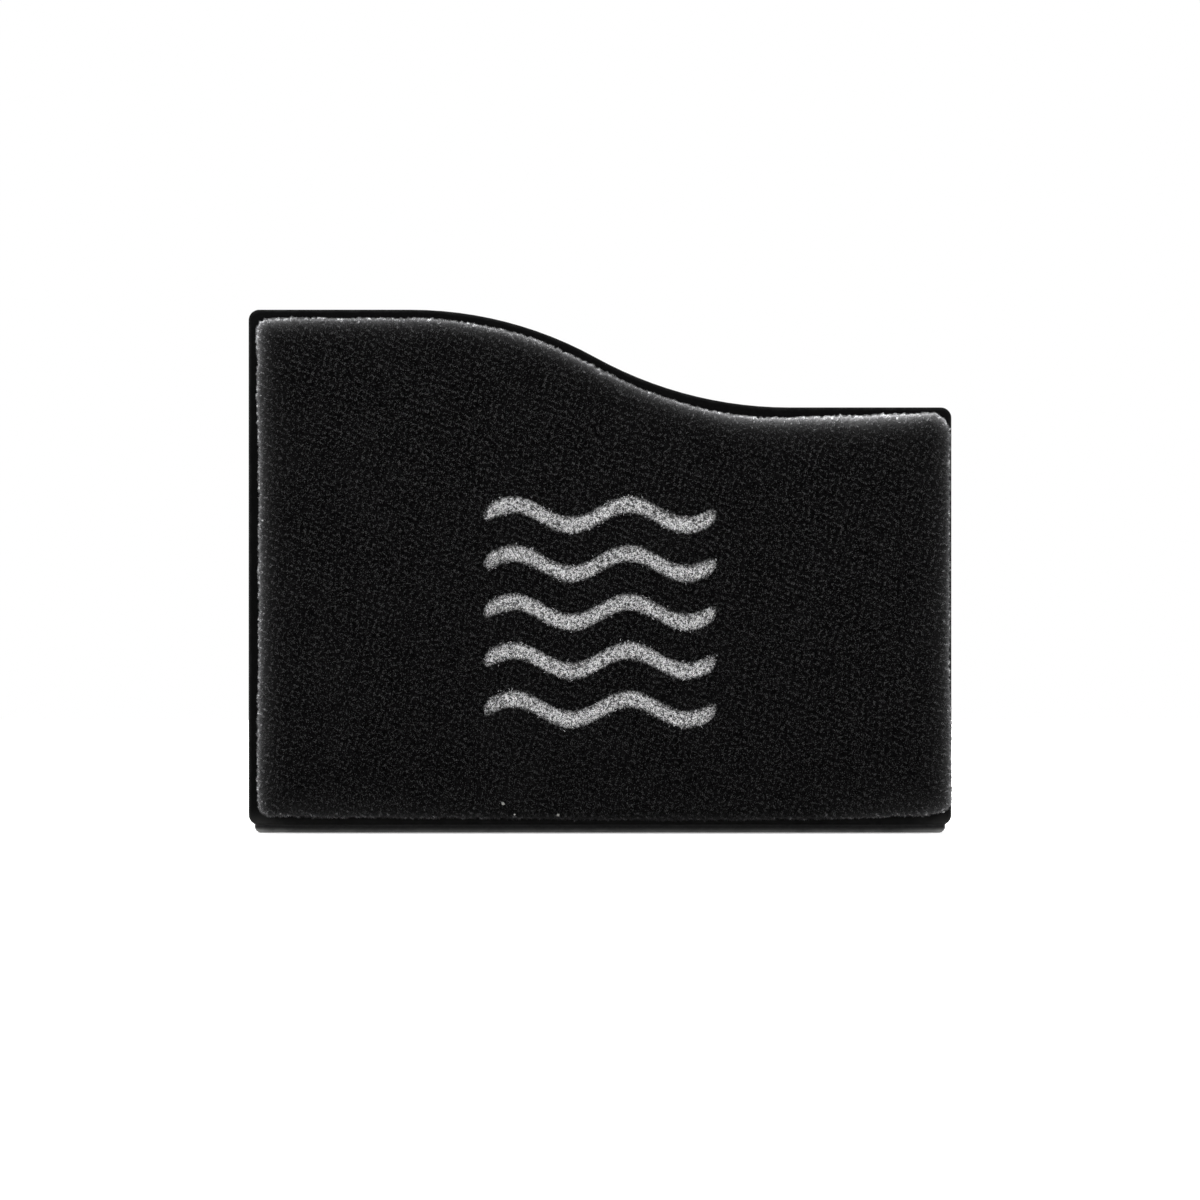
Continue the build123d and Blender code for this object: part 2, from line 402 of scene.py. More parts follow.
def open_foam(name, base, cell_size):
    """Open-celled foam, or foam tape, with its round pores, painted darker in their middles as painted shade.
    """
    made, tree, shader, place = material(name)
    pores = add(tree, "ShaderNodeTexVoronoi", {"Vector": place, "Scale": MM / cell_size})
    wall = span(tree, pores.outputs["Distance"], 0.15, 0.6)
    uneven = span(tree, noise(tree, place, 0.4, 4.0), 0.3, 0.7, 0.75, 1.25)
    surface(tree, shader, {
        # Pores painted darker in their middles: painted shade.
        "Base Color": mixed(tree, 1.0, mixed(tree, wall, scaled(base, 0.35), base), uneven, "MULTIPLY"),
        "Roughness": span(tree, wall, 0.0, 1.0, 0.95, 0.8),
        "Normal": bumped(tree, wall, 0.2 * MM),
        "Specular IOR Level": 0.2,
    })
    return made


def pressed_board(name, base):
    """Brown fibre board with matted strands."""
    made, tree, shader, place = material(name)
    fibre = use(tree, "Matted fibre", {"Place": place, "Clump Size": 0.9})
    surface(tree, shader, {
        "Base Color": mixed(tree, fibre["Shade"], scaled(base, 0.6), scaled(base, 1.25)),
        "Roughness": span(tree, fibre["Height"], 0.4, 1.1, 0.9, 0.75),
        "Normal": bumped(tree, fibre["Height"], 0.08 * MM),
    })
    return made


def print_sizes(pad):
    """Half the print's side, the pitch of its lines, the width of a line and half the height of them all."""
    pitch = (pad.print_size - pad.print_stroke - 2 * PRINT_SWING) / (pad.print_lines - 1)
    return pad.print_size / 2, pitch, pad.print_stroke, pitch * pad.print_lines / 2


def print_mask(tree, place, pad):
    """Mask of the printed wave lines, soft and ragged at their edges."""
    parts = add(tree, "ShaderNodeSeparateXYZ", {0: place}).outputs
    half, pitch, stroke, half_height = scaled(print_sizes(pad), 1 / MM)
    swing = sums(tree, "SINE", times(tree, parts["X"], 2 * math.pi / half))
    height = minus(tree, minus(tree, parts["Z"], pad.print_height / MM), times(tree, swing, PRINT_SWING / MM))
    first = plus(tree, height, half_height)
    across = minus(tree, minus(tree, first, sums(tree, "SNAP", first, pitch)), pitch / 2)
    beyond = sums(tree, "MAXIMUM", minus(tree, sums(tree, "ABSOLUTE", parts["X"]), half - stroke / 2), 0.0)
    away = sums(tree, "SQRT", plus(tree, times(tree, across, across), times(tree, beyond, beyond)))
    ragged = minus(tree, noise(tree, place, 3.2, 3.0, 0.6), 0.5)
    inked = span(tree, plus(tree, away, times(tree, ragged, 1.1)), stroke / 2 + 0.2, stroke / 2 - 0.5)
    within = sums(tree, "LESS_THAN", sums(tree, "ABSOLUTE", height), half_height)
    front = sums(tree, "LESS_THAN", parts["Y"], (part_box("pile_cover")[0].y + FACE_DEPTH) / MM)
    return times(tree, inked, within, front)


def pile_cloth(pad):
    """Black napped cloth: matted tufts, the cloth between them darker as painted shade, a paler rim that is a
    painted highlight, and the print.
    """
    made, tree, shader, place = material("pile_cloth_napped")
    fibre = use(tree, "Matted fibre", {"Place": place, "Clump Size": 0.42})
    chalk = use(tree, "Chalk dust and painted foot light", {"Place": place, "Amount": 0.06})
    # The cloth between the tufts darkened as painted shade.
    dark = mixed(tree, fibre["Shade"], pad.cloth_colour, scaled(pad.tuft_colour, GROUND_PAINTED_SHADE))
    # The rim value and the mask made from it carry a painted highlight round the pad's rim.
    rim = add(tree, "ShaderNodeAttribute", attribute_name="rim", attribute_type="GEOMETRY").outputs["Fac"]
    rubbed = times(tree, rim, span(tree, fibre["Shade"], 0.0, 0.8, 0.4, 1.0))
    dark = mixed(tree, rubbed, dark, pad.rim_highlight_colour)
    covered = span(tree, fibre["Shade"], 0.08, 0.45)
    ink = mixed(tree, covered, scaled(pad.print_colour, 0.04), pad.print_colour)
    inked = mixed(tree, print_mask(tree, place, pad), dark, ink)
    surface(tree, shader, {
        "Base Color": mixed(tree, chalk["Mask"], inked, CHALK_IN_CLOTH),
        "Roughness": span(tree, fibre["Height"], 0.4, 1.1, 0.98, 0.85),
        "Normal": bumped(tree, fibre["Height"], 0.22 * MM),
        "Specular IOR Level": 0.0,
        "Sheen Weight": 0.12,
        "Sheen Roughness": 0.3,
        "Sheen Tint": (0.8, 0.8, 0.82, 1.0),
    })
    return made


def strand(name, tone):
    """One tone of the nap's fibres. The fibres themselves vary in tone, lean and length."""
    made = bpy.data.materials.new(name)
    made.use_nodes = True
    surface(made.node_tree, made.node_tree.nodes["Principled BSDF"], {
        "Base Color": (tone, tone, tone * 1.02, 1.0),
        "Roughness": 0.8,
        "Specular IOR Level": 0.0,
        "Sheen Weight": 0.1,
        "Sheen Roughness": 0.3,
    })
    return made


def chalk_matter():
    """Crumb of chalk, powdery and uneven."""
    made, tree, shader, place = material("chalk_crumb")
    powder = noise(tree, place, 6.0, 4.0, 0.7)
    surface(tree, shader, {
        "Base Color": mixed(tree, powder, (0.16, 0.16, 0.15), (0.4, 0.4, 0.38)),
        "Roughness": 0.9,
        "Normal": bumped(tree, powder, 0.05 * MM),
    })
    return made


# ------------ pad shape

# The cut edge's corners, anticlockwise from the bottom left: width and height in millimetres, and
# fullness, which is 2 for a plain ellipse and 1 for a straight cut.
CORNERS = ((2.0, 2.0, 2.0), (3.4, 1.6, 1.6), (2.5, 2.6, 1.35), (2.1, 1.9, 2.0))

# Places along each cut edge in millimetres, and how far the edge strays there from its CAD solid.
TOP_SAG = ([-54, -45, -12, 5, 20, 30, 42, 53], [0.2, 0.1, 0.08, 0.08, 0.52, 0.29, -0.07, -0.5])
LEFT_SHIFT = ([2, 5, 10, 17, 28, 57, 66, 80], [0.25, 0.2, 0.06, 0.08, 0.34, 0.33, 0.07, 0.0])
RIGHT_SHIFT = ([2, 6, 15, 24, 57, 61, 67], [0.1, 0.2, 0.2, 0.0, 0.0, 0.1, 0.1])
BOTTOM_BOW = ([-54, -50, -44, -20, -6, 10, 33, 42, 54],
              [0.15, 0.1, -0.05, -0.12, -0.32, -0.43, -0.33, -0.05, 0.4])

# Places along each edge in millimetres, and how strong the painted highlight on the nap's rim is there.
RIM_HIGHLIGHT_TOP = ([-54, -50, -24, 8, 16, 32, 42, 48, 54], [0.6, 0.43, 0.46, 0.41, 0.56, 1.02, 1.4, 1.4, 0.98])
RIM_HIGHLIGHT_LEFT = ([2, 8, 15, 72, 77, 81], [0.45, 0.5, 0.56, 0.56, 0.95, 1.0])
RIM_HIGHLIGHT_RIGHT = ([2, 8, 30, 48, 58, 62, 66], [0.62, 0.46, 0.42, 0.34, 0.32, 0.27, 0.45])
RIM_HIGHLIGHT_FOOT = ([-54, -50, -34, -6, 10, 33, 49, 54], [0.75, 0.42, 0.28, 0.11, 0.12, 0.14, 0.5, 0.85])

CORNER_INSET = 2.7 * MM  # past the rounded corners of the CAD solid's top edge
ARC_STEPS = 24
SAMPLES_ACROSS = 300
SAMPLES_UP = 200
WAVES = 32
WAVES_SUM = 5.6  # about how high that many waves add up
RIPPLE_SIZE = 0.95 * MM  # from one wobble of the cut edge to the next
BAND = 5.0 * MM  # from the cut edge in to the grid on the pad's face
CROWN_FADE = 9 * MM  # how far in from the edge the face still rises
SIDE_RINGS = 12
EDGE_RINGS = 9
RING_STEP = 0.45 * MM
BULGE = 0.15 * MM  # how far the sides stand out half-way back
TUCK = 1.25 * MM  # how fast the sides draw in where they meet the plate
TUCK_START = 0.8
SWAY_SIZE = 14 * MM  # from one slow swell of the pad's skin to the next
SWAY_HEIGHT = 0.05 * MM
HELD_DEPTH = 0.8 * MM  # how far in front of its back the skin is held down

# Each thing that chance shapes has a seed of its own.
SEEDS = {"tufts": 21, "cut edge": 11, "sway": 24, "ink": 27, "nap": 31, "drift": 32, "crumbs": 41}


def ripple(points, size, seed, slope=False):
    """Smooth random values, about -1 to 1, that change over a given size, or else the way they rise."""
    rng = np.random.default_rng(seed)
    heading = rng.uniform(0, 2 * math.pi, WAVES)
    waves = np.column_stack([np.cos(heading), rng.normal(size=WAVES) * 0.7, np.sin(heading)])
    waves *= (2 * math.pi / size * rng.uniform(0.75, 1.3, WAVES))[:, None]
    phase = points @ waves.T + rng.uniform(0, 2 * math.pi, WAVES)
    if slope:
        return np.cos(phase) @ waves / WAVES_SUM
    return np.sin(phase).sum(axis=1) / WAVES_SUM


def tufts(points, pad, slope=False):
    """The nap's tufts: about 1 at their middles and -1 between them, or else the way up to them."""
    return ripple(points, pad.tuft_size, SEEDS["tufts"], slope)


def unit(vectors):
    """Vectors brought to a length of 1."""
    return vectors / np.linalg.norm(vectors, axis=1)[:, None]


def cover_top(xs):
    """Height of the cover's top edge at each X, read from its CAD solid."""
    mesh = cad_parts["pile_cover"].data
    back_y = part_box("pile_cover")[1].y
    co = np.array([v.co for v in mesh.vertices])
    ends = np.array([edge.vertices for edge in mesh.edges])
    ends = ends[(np.abs(co[ends, 1] - back_y) < TINY).all(axis=1)]
    first, last = co[ends[:, 0]], co[ends[:, 1]]
    run = last[:, 0] - first[:, 0]
    sloped = np.abs(run) > TINY
    first, last, run = first[sloped], last[sloped], run[sloped]
    part = (np.asarray(xs)[:, None] - first[:, 0]) / run
    height = first[:, 2] + part * (last[:, 2] - first[:, 2])
    return np.where((part >= 0) & (part <= 1), height, -1.0).max(axis=1)


def measured(table, values):
    """Reads a short table in millimetres at some places."""
    return np.interp(values / MM, table[0], table[1]) * MM


def cut_edges():
    """Left, right, bottom and top of the pad as functions of the place along them."""
    low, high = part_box("pile_cover")

    def left(z):
        return low.x + measured(LEFT_SHIFT, z)

    def right(z):
        return high.x + measured(RIGHT_SHIFT, z)

    def bottom(x):
        return low.z + measured(BOTTOM_BOW, x)

    def top(x):
        return cover_top(np.clip(x, low.x + CORNER_INSET, high.x - CORNER_INSET)) - measured(TOP_SAG, x)

    return left, right, bottom, top


def at(edge, place):
    """The one value of an edge's function at a place."""
    return float(edge(np.array([place]))[0])


def corner_arc(centre, corner, start):
    """Rounded corner as an arc of 90 degrees, fuller or flatter than a circle."""
    turn = np.radians(np.linspace(start, start + 90, ARC_STEPS + 1))
    c, s = np.cos(turn), np.sin(turn)
    wide, tall, fullness = corner
    x = np.sign(c) * np.abs(c) ** (2 / fullness) * wide * MM
    z = np.sign(s) * np.abs(s) ** (2 / fullness) * tall * MM
    return np.column_stack([centre[0] + x, centre[1] + z])


def outer_sides():
    """The pad's cut edge in four runs from the bottom on, which meet in the middle of its corners."""
    low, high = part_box("pile_cover")
    left, right, bottom, top = cut_edges()
    wide, tall = [[corner[k] * MM for corner in CORNERS] for k in range(2)]
    centres = [
        (at(left, low.z + tall[0]) + wide[0], at(bottom, low.x + wide[0]) + tall[0]),
        (high.x - wide[1], at(bottom, high.x - wide[1]) + tall[1]),
        (high.x - wide[2], at(top, high.x - wide[2]) - tall[2]),
        (at(left, high.z - tall[3]) + wide[3], at(top, low.x + wide[3]) - tall[3]),
    ]
    arcs = [corner_arc(*corner) for corner in zip(centres, CORNERS, (180, 270, 0, 90))]
    x_low, x_high = [np.linspace(centres[k][0], centres[k + 1][0], SAMPLES_ACROSS)[1:-1] for k in (0, 2)]
    z_left, z_right = [np.linspace(centres[k - 1][1], centres[k][1], SAMPLES_UP)[1:-1] for k in (0, 2)]
    middles = [
        np.column_stack([x_low, bottom(x_low)]),
        np.column_stack([right(z_right), z_right]),
        np.column_stack([x_high, top(x_high)]),
        np.column_stack([left(z_left), z_left]),
    ]
    half = ARC_STEPS // 2
    return [np.vstack([arc[half:], middle, following[:half + 1]])
            for arc, middle, following in zip(arcs, middles, arcs[1:] + arcs[:1])]


def inner_sides():
    """Four straight-cornered runs one band inside the pad's edge."""
    low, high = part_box("pile_cover")
    left, right, bottom, top = cut_edges()
    x = np.linspace(low.x + BAND, high.x - BAND, SAMPLES_ACROSS)
    base, crest = bottom(x) + BAND, top(x) - BAND
    z_right = np.linspace(base[-1], crest[-1], SAMPLES_UP)
    z_left = np.linspace(crest[0], base[0], SAMPLES_UP)
    return [
        np.column_stack([x, base]),
        np.column_stack([np.full_like(z_right, x[-1]), z_right]),
        np.column_stack([x, crest])[::-1],
        np.column_stack([np.full_like(z_left, x[0]), z_left]),
    ]


def spaced(points, count):
    """The line through some points, cut into equal steps."""
    steps = np.hypot(*np.diff(points, axis=0).T)
    along = np.concatenate([[0.0], np.cumsum(steps)])
    places = np.linspace(0.0, along[-1], count + 1)
    return np.column_stack([np.interp(places, along, points[:, k]) for k in range(2)])


def evened(sides, across, up):
    """Four runs, each cut into equal steps."""
    return [spaced(side, count) for side, count in zip(sides, (across, up, across, up))]


def ring(sides, across, up):
    """Closed ring of points from four runs, without repeating the corners."""
    return np.vstack([side[:-1] for side in evened(sides, across, up)])


def patch(sides, across, up):
    """Grid of points that fills four runs."""
    bottom, right, top, left = evened(sides, across, up)
    top, left = top[::-1], left[::-1]
    u = np.linspace(0, 1, across + 1)[None, :, None]
    v = np.linspace(0, 1, up + 1)[:, None, None]
    flat = (1 - v) * bottom[None] + v * top[None] + (1 - u) * left[:, None] + u * right[:, None]
    corners = ((1 - u) * (1 - v) * bottom[0] + u * (1 - v) * bottom[-1]
               + (1 - u) * v * top[0] + u * v * top[-1])
    return flat - corners


def outward(loop):
    """Unit vectors that point out of a ring that runs anticlockwise."""
    along = unit(np.roll(loop, -1, axis=0) - np.roll(loop, 1, axis=0))
    return np.column_stack([along[:, 1], -along[:, 0]])


def at_depth(flat, depth):
    """Flat points, given as X and Z, placed at a depth along Y."""
    return np.column_stack([flat[:, 0], np.full(len(flat), depth), flat[:, 1]])


def edge_profile(distance, pad):
    """How far back the pad's face lies at a distance in from its edge."""
    near = np.clip(1 - distance / pad.edge_round, 0, 1)
    rounded = pad.edge_depth * (1 - np.sqrt(1 - near ** 2))
    return rounded + pad.crown * np.exp(-np.maximum(distance, 0) / CROWN_FADE)


def rim_fade(distance, paleness):
    """How the painted highlight on the nap fades in from the cut edge: a bright line with a faint painted
    glow inside it.
    """
    line_width = np.clip(0.21 + 0.2 * paleness, 0.24, 0.38) * MM
    glow_width = 1.3 * MM
    return paleness * (0.82 * np.exp(-distance / line_width) + 0.27 * np.exp(-distance / glow_width))


def rim_highlight_strength(points):
    """How strong the painted highlight is round the nap's rim, where light from above catches the rounded
    edge: most along the low top edge, least at the foot.
    """
    x, z = points[:, 0], points[:, 2]
    left, right, bottom, top = cut_edges()
    reach = 2.5 * MM
    near = np.stack([x - left(z), right(z) - x, z - bottom(x), top(x) - z])
    near = np.exp(-np.maximum(near, 0) / reach) + TINY
    paleness = np.stack([np.interp(z / MM, *RIM_HIGHLIGHT_LEFT), np.interp(z / MM, *RIM_HIGHLIGHT_RIGHT),
                         np.interp(x / MM, *RIM_HIGHLIGHT_FOOT), np.interp(x / MM, *RIM_HIGHLIGHT_TOP)])
    return (near * paleness).sum(axis=0) / near.sum(axis=0)


def pad_rings(pad, outer, inner):
    """Rings from the pad's back down its sides and over its rounded edge, and how far in each one lies."""
    low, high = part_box("pile_cover")
    out = outward(outer)
    wobble = ripple(at_depth(outer, 0.0), RIPPLE_SIZE, SEEDS["cut edge"]) * pad.wobble
    outer = outer + out * (wobble - pad.nap_reach)[:, None]
    front = low.y + pad.edge_depth + pad.crown
    # Down the sides, the painted rim highlight fades back only this far.
    rim_highlight_depth = 2.5 * MM
    rows, insides = [], []
    for part in np.linspace(1, 0, SIDE_RINGS + 1)[:-1]:
        behind = (high.y - front) * part
        bulge = BULGE * math.sin(math.pi * part) - TUCK * max(0.0, part - TUCK_START)
        rows.append(at_depth(outer + out * bulge, front + behind))
        insides.append(min(behind, rim_highlight_depth) * 0.6)
    turn = np.radians(np.linspace(0, 90, EDGE_RINGS))
    steps = np.arange(pad.edge_round + RING_STEP, BAND - 0.2 * MM, RING_STEP)
    for distance in np.concatenate([pad.edge_round * (1 - np.cos(turn)), steps]):
        part = distance / BAND
        loop = outer * (1 - part) + inner * part
        rows.append(at_depth(loop, low.y + edge_profile(np.full(len(loop), distance), pad)))
        insides.append(distance)
    return rows, insides


def pad_face(pad, runs, across, up):
    """Grid of points on the pad's face inside its rounded edge, and each point's distance in."""
    low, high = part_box("pile_cover")
    flat = patch(runs, across, up).reshape(-1, 2)
    u, v = np.meshgrid(np.linspace(0, 1, across + 1), np.linspace(0, 1, up + 1))
    wide, tall = high.x - low.x - 2 * BAND, high.z - low.z - 2 * BAND
    inside = BAND + np.minimum.reduce([u * wide, (1 - u) * wide, v * tall, (1 - v) * tall]).ravel()
    return at_depth(flat, low.y + edge_profile(inside, pad)), inside


def pad_mesh(pad, across=232, up=164):
    """The pad's skin: a grid on its face, rings round its edge and down its sides, and its back."""
    runs = inner_sides()
    rows, insides = pad_rings(pad, ring(outer_sides(), across, up), ring(runs, across, up))
    grid, inside = pad_face(pad, runs, across, up)
    around = len(rows[0])
    index = np.arange(len(grid)).reshape(up + 1, across + 1) + len(rows) * around
    border = np.concatenate([index[0, :-1], index[:-1, -1], index[-1, :0:-1], index[:0:-1, 0]])
    loops = [np.arange(around) + k * around for k in range(len(rows))] + [border]
    quads = [np.column_stack([outside, np.roll(outside, -1), np.roll(within, -1), within])
             for outside, within in zip(loops, loops[1:])]
    quads.append(np.column_stack([index[:-1, :-1].ravel(), index[:-1, 1:].ravel(),
                                  index[1:, 1:].ravel(), index[1:, :-1].ravel()]))
    points = np.vstack(rows + [grid])
    # The painted rim highlight at each point.
    rim = rim_fade(np.concatenate([np.repeat(insides, around), inside]), rim_highlight_strength(points))
    faces = np.vstack(quads).tolist() + [loops[0][::-1].tolist()]
    return points, faces, rim


def placed(name, data):
    """An object with its data, linked to the scene."""
    made = bpy.data.objects.new(name, data)
    bpy.context.scene.collection.objects.link(made)
    return made


def from_bmesh(name, shape, look):
    """An object with one material from a bmesh, which is freed."""
    mesh = bpy.data.meshes.new(name)
    shape.to_mesh(mesh)
    shape.free()
    mesh.materials.append(look)
    return placed(name, mesh)


def read_rows(items, name, width=3, kind=np.float32):
    """One property of all the items of a mesh, a row for each."""
    values = np.empty(len(items) * width, kind)
    items.foreach_get(name, values)
    return values.reshape(-1, width)


def build_pad(pad):
    """The pad's skin, raised under its tufts, as one closed cushion over foam and board."""
    points, faces, rim = pad_mesh(pad)
    mesh = bpy.data.meshes.new("pad_cover")
    mesh.from_pydata(points.tolist(), [], faces)
    mesh.update()
    mesh.shade_smooth()
    back_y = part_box("pile_cover")[1].y
    sway = ripple(points, SWAY_SIZE, SEEDS["sway"]) * SWAY_HEIGHT
    free = np.clip((back_y - points[:, 1]) / HELD_DEPTH, 0, 1)
    raised = (tufts(points, pad) * pad.tuft_height + sway) * free
    moved = points + read_rows(mesh.vertex_normals, "vector").astype(float) * raised[:, None]
    mesh.vertices.foreach_set("co", moved.astype(np.float32).ravel())
    # The painted rim highlight goes with the mesh, for the cloth's shader and for the nap.
    mesh.attributes.new("rim", "FLOAT", "POINT").data.foreach_set("value", rim.astype(np.float32))
    mesh.materials.append(pile_cloth(pad))
    mesh.update()
    return placed("pad_cover", mesh)


# ------------ nap

NAP_TONES = (0.0008, 0.003, 0.007, 0.014, 0.028, 0.055, 0.11, 0.22, 0.45, 0.9)  # one material each
NAP_LIGHT_BY_HEIGHT = ([5, 22, 45, 78], [0.8, 0.96, 1.03, 1.14])  # how light the nap is at heights in millimetres: darker towards the bottom, lighter towards the top


def on_print(points, pad):
    """Share of ink, from 0 to 1, at places on the pad's face: less towards the ends of a line."""
    half, pitch, stroke, half_height = print_sizes(pad)
    height = points[:, 2] - pad.print_height - PRINT_SWING * np.sin(points[:, 0] * 2 * math.pi / half)
    across = (height + half_height) % pitch - pitch / 2
    beyond = np.maximum(np.abs(points[:, 0]) - (half - stroke / 2), 0)
    ragged = ripple(points, 1.1 * MM, SEEDS["ink"]) * 0.25 * MM
    away = np.hypot(across, beyond) + ragged
    inked = np.clip((stroke / 2 + 0.35 * MM - away) / (1.0 * MM), 0, 1)
    worn = np.clip((half - np.abs(points[:, 0])) / (5 * MM), 0, 1) * 0.35 + 0.65
    front = points[:, 1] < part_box("pile_cover")[0].y + FACE_DEPTH
    return inked * worn * (np.abs(height) < half_height) * front


def nap_brightness(root, rim, pad, rng):
    """How light each fibre is, black between tufts and paler on them, paler at the rim where a highlight is
    painted on, and in the print, and which fibres carry ink."""
    tuft = tufts(root, pad)
    scatter = rng.normal(size=len(root))
    dark = pad.tuft_colour[0] * (np.clip(1.06 + 0.5 * tuft, 0.05, 1.5) + 0.2 * np.clip(scatter, -1, 2))
    # Darker towards the bottom, lighter towards the top.
    dark *= np.interp(root[:, 2] / MM, *NAP_LIGHT_BY_HEIGHT)
    # Painted highlight on the fibres round the rim.
    rubbed = pad.rim_highlight_colour[0] * rim * np.exp(1.0 * tuft + 0.4 * scatter)
    ink = pad.print_colour[0] * 1.1 * np.exp(1.5 * tuft + 1.6 * scatter)
    inked = on_print(root, pad) > rng.uniform(0.05, 0.95, len(root))
    return np.where(inked, ink, dark + rubbed), inked


def nap_lean(root, normal, pad, rng):
    """The way each fibre points: out of the cloth, in towards the middle of its tuft, and a little astray."""
    steepest = 1.3
    gathered = tufts(root, pad, slope=True) * 0.07 * MM
    swept = np.column_stack([ripple(root, 3.0 * MM, SEEDS["drift"] + k) for k in range(3)]) * 0.25
    astray = rng.normal(size=root.shape) * 0.35
    lean = gathered + swept + astray
    lean -= normal * (lean * normal).sum(axis=1)[:, None]
    lean /= np.maximum(np.linalg.norm(lean, axis=1), steepest)[:, None] / steepest
    return unit(normal + lean)


def spikes(root, direction, reach, width, rng):
    """Slim four-sided fibres, each a triangle at its root drawn to a point."""
    side = unit(np.cross(direction, rng.normal(size=root.shape)))
    third = np.cross(direction, side)
    corners = []
    for turn in np.radians((0, 120, 240)):
        corners.append(root + (side * math.cos(turn) + third * math.sin(turn)) * width[:, None] / 2)
    tip = root + direction * reach[:, None]
    points = np.stack([*corners, tip], axis=1).reshape(-1, 3)
    start = (np.arange(len(root)) * 4)[:, None, None]
    faces = start + np.array([[0, 1, 3], [1, 2, 3], [2, 0, 3], [2, 1, 0]])[None]
    return points, faces.reshape(-1, 3)


def mesh_from_triangles(name, points, triangles):
    """A mesh made quickly from many triangles."""
    mesh = bpy.data.meshes.new(name)
    mesh.vertices.add(len(points))
    mesh.vertices.foreach_set("co", points.astype(np.float32).ravel())
    mesh.loops.add(triangles.size)
    mesh.loops.foreach_set("vertex_index", triangles.astype(np.int32).ravel())
    mesh.polygons.add(len(triangles))
    mesh.polygons.foreach_set("loop_start", (np.arange(len(triangles)) * 3).astype(np.int32))
    mesh.update(calc_edges=True)
    return mesh


def nap_roots(cover, pad, rng):
    """Places for the fibres over the pad, more of them on its tufts, with the normal and the rim there."""
    mesh = cover.data
    mesh.calc_loop_triangles()
    corners = read_rows(mesh.loop_triangles, "vertices", kind=np.int32)
    co = read_rows(mesh.vertices, "co").astype(float)
    rim = read_rows(mesh.attributes["rim"].data, "value", 1)[:, 0]
    a, b, c = co[corners[:, 0]], co[corners[:, 1]], co[corners[:, 2]]
    weight = np.linalg.norm(np.cross(b - a, c - a), axis=1)
    weight *= np.clip(1.1 + tufts((a + b + c) / 3, pad), 0.4, 2.0)
    bare_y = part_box("pile_cover")[1].y - 0.3 * MM
    weight[(np.stack([a, b, c])[:, :, 1] > bare_y).any(axis=0)] = 0
    picked = corners[rng.choice(len(weight), pad.nap_count, p=weight / weight.sum())]
    r1, r2 = np.sqrt(rng.random(pad.nap_count)), rng.random(pad.nap_count)
    shares = np.column_stack([1 - r1, r1 * (1 - r2), r1 * r2])[:, :, None]
    normals = read_rows(mesh.vertex_normals, "vector").astype(float)
    normal = unit((normals[picked] * shares).sum(axis=1))
    return (co[picked] * shares).sum(axis=1), normal, (rim[picked] * shares[:, :, 0]).sum(axis=1)


def build_nap(cover, pad):
    """Fibres over the whole pad, drawn together in tufts, in three pieces side by side."""
    rng = np.random.default_rng(SEEDS["nap"])
    root, normal, rim = nap_roots(cover, pad, rng)
    direction = nap_lean(root, normal, pad, rng)
    sideways = np.clip(normal[:, 1] + 1, 0, 1)
    reach = pad.nap_length * rng.uniform(0.55, 1.0, len(root)) * (1 - 0.45 * sideways)
    reach *= 1 - 0.4 * np.clip(rim, 0, 1)
    width = pad.nap_width * rng.uniform(0.6, 1.0, len(root))
    light, inked = nap_brightness(root, rim, pad, rng)
    upright = normal * (direction * normal).sum(axis=1)[:, None]
    direction = unit(direction - upright * np.where(inked, 0.75, 0.0)[:, None])
    reach *= np.where(inked, 0.8, 1.0)
    sunk = root - normal * 0.05 * MM
    tones = np.array(NAP_TONES)
    tone = np.searchsorted(np.sqrt(tones[:-1] * tones[1:]), light)
    materials = [strand(f"nap_tone_{k + 1}", value) for k, value in enumerate(NAP_TONES)]
    cuts = np.quantile(root[:, 0], [0, 1 / 3, 2 / 3, 1])
    made = []
    for name, start, stop in zip(("left", "middle", "right"), cuts, cuts[1:]):
        chosen = (root[:, 0] >= start) & (root[:, 0] < stop)
        points, faces = spikes(sunk[chosen], direction[chosen], reach[chosen], width[chosen], rng)
        mesh = mesh_from_triangles("pad_nap_" + name, points, faces)
        for one in materials:
            mesh.materials.append(one)
        mesh.polygons.foreach_set("material_index", np.repeat(tone[chosen], 4).astype(np.int32))
        made.append(placed("pad_nap_" + name, mesh))
    return made


CRUMB_CORNERS = 14  # of which some end up inside the crumb

# X, Z, how far behind the pad's front, and size of each crumb, in millimetres.
CRUMBS = ((-15.1, 4.8, 0.05, 0.17), (-13.3, 3.1, 0.35, 0.11), (-6.5, 3.0, 0.35, 0.15))


def build_crumbs():
    """A few crumbs of chalk caught in the nap low on the pad."""
    rng = np.random.default_rng(SEEDS["crumbs"])
    face_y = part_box("pile_cover")[0].y
    shape = bmesh.new()
    for x, z, back, size in CRUMBS:
        middle = Vector((x * MM, face_y + back * MM, z * MM))
        points = [shape.verts.new(middle + Vector(rng.normal(size=3)) * size * MM)
                  for _ in range(CRUMB_CORNERS)]
        bmesh.ops.convex_hull(shape, input=points)
    loose = [v for v in shape.verts if not v.link_faces]
    bmesh.ops.delete(shape, geom=loose, context="VERTS")
    return from_bmesh("chalk_crumbs", shape, chalk_matter())


# ------------ stage

AIM = (0.0, 0.0, 0.04)
SENSOR = 36.0

# Place and size in metres, power in watts, and the setting that the power goes by.
LAMPS = {
    "lamp_top": ((0.05, -0.10, 1.1), 0.7, 16.0, "top_light"),
    "lamp_front_left": ((-0.9, -1.1, 0.8), 0.7, 12.0, "front_light"),
    "lamp_front_right": ((0.9, -1.1, 0.8), 0.7, 12.0, "front_light"),
    "lamp_left": ((-1.2, -0.05, 0.25), 0.5, 8.0, "side_light"),
    "lamp_right": ((1.2, -0.05, 0.35), 0.5, 5.0, "side_light"),
    "lamp_back": ((-0.4, 1.3, 0.9), 0.8, 14.0, "front_light"),
}


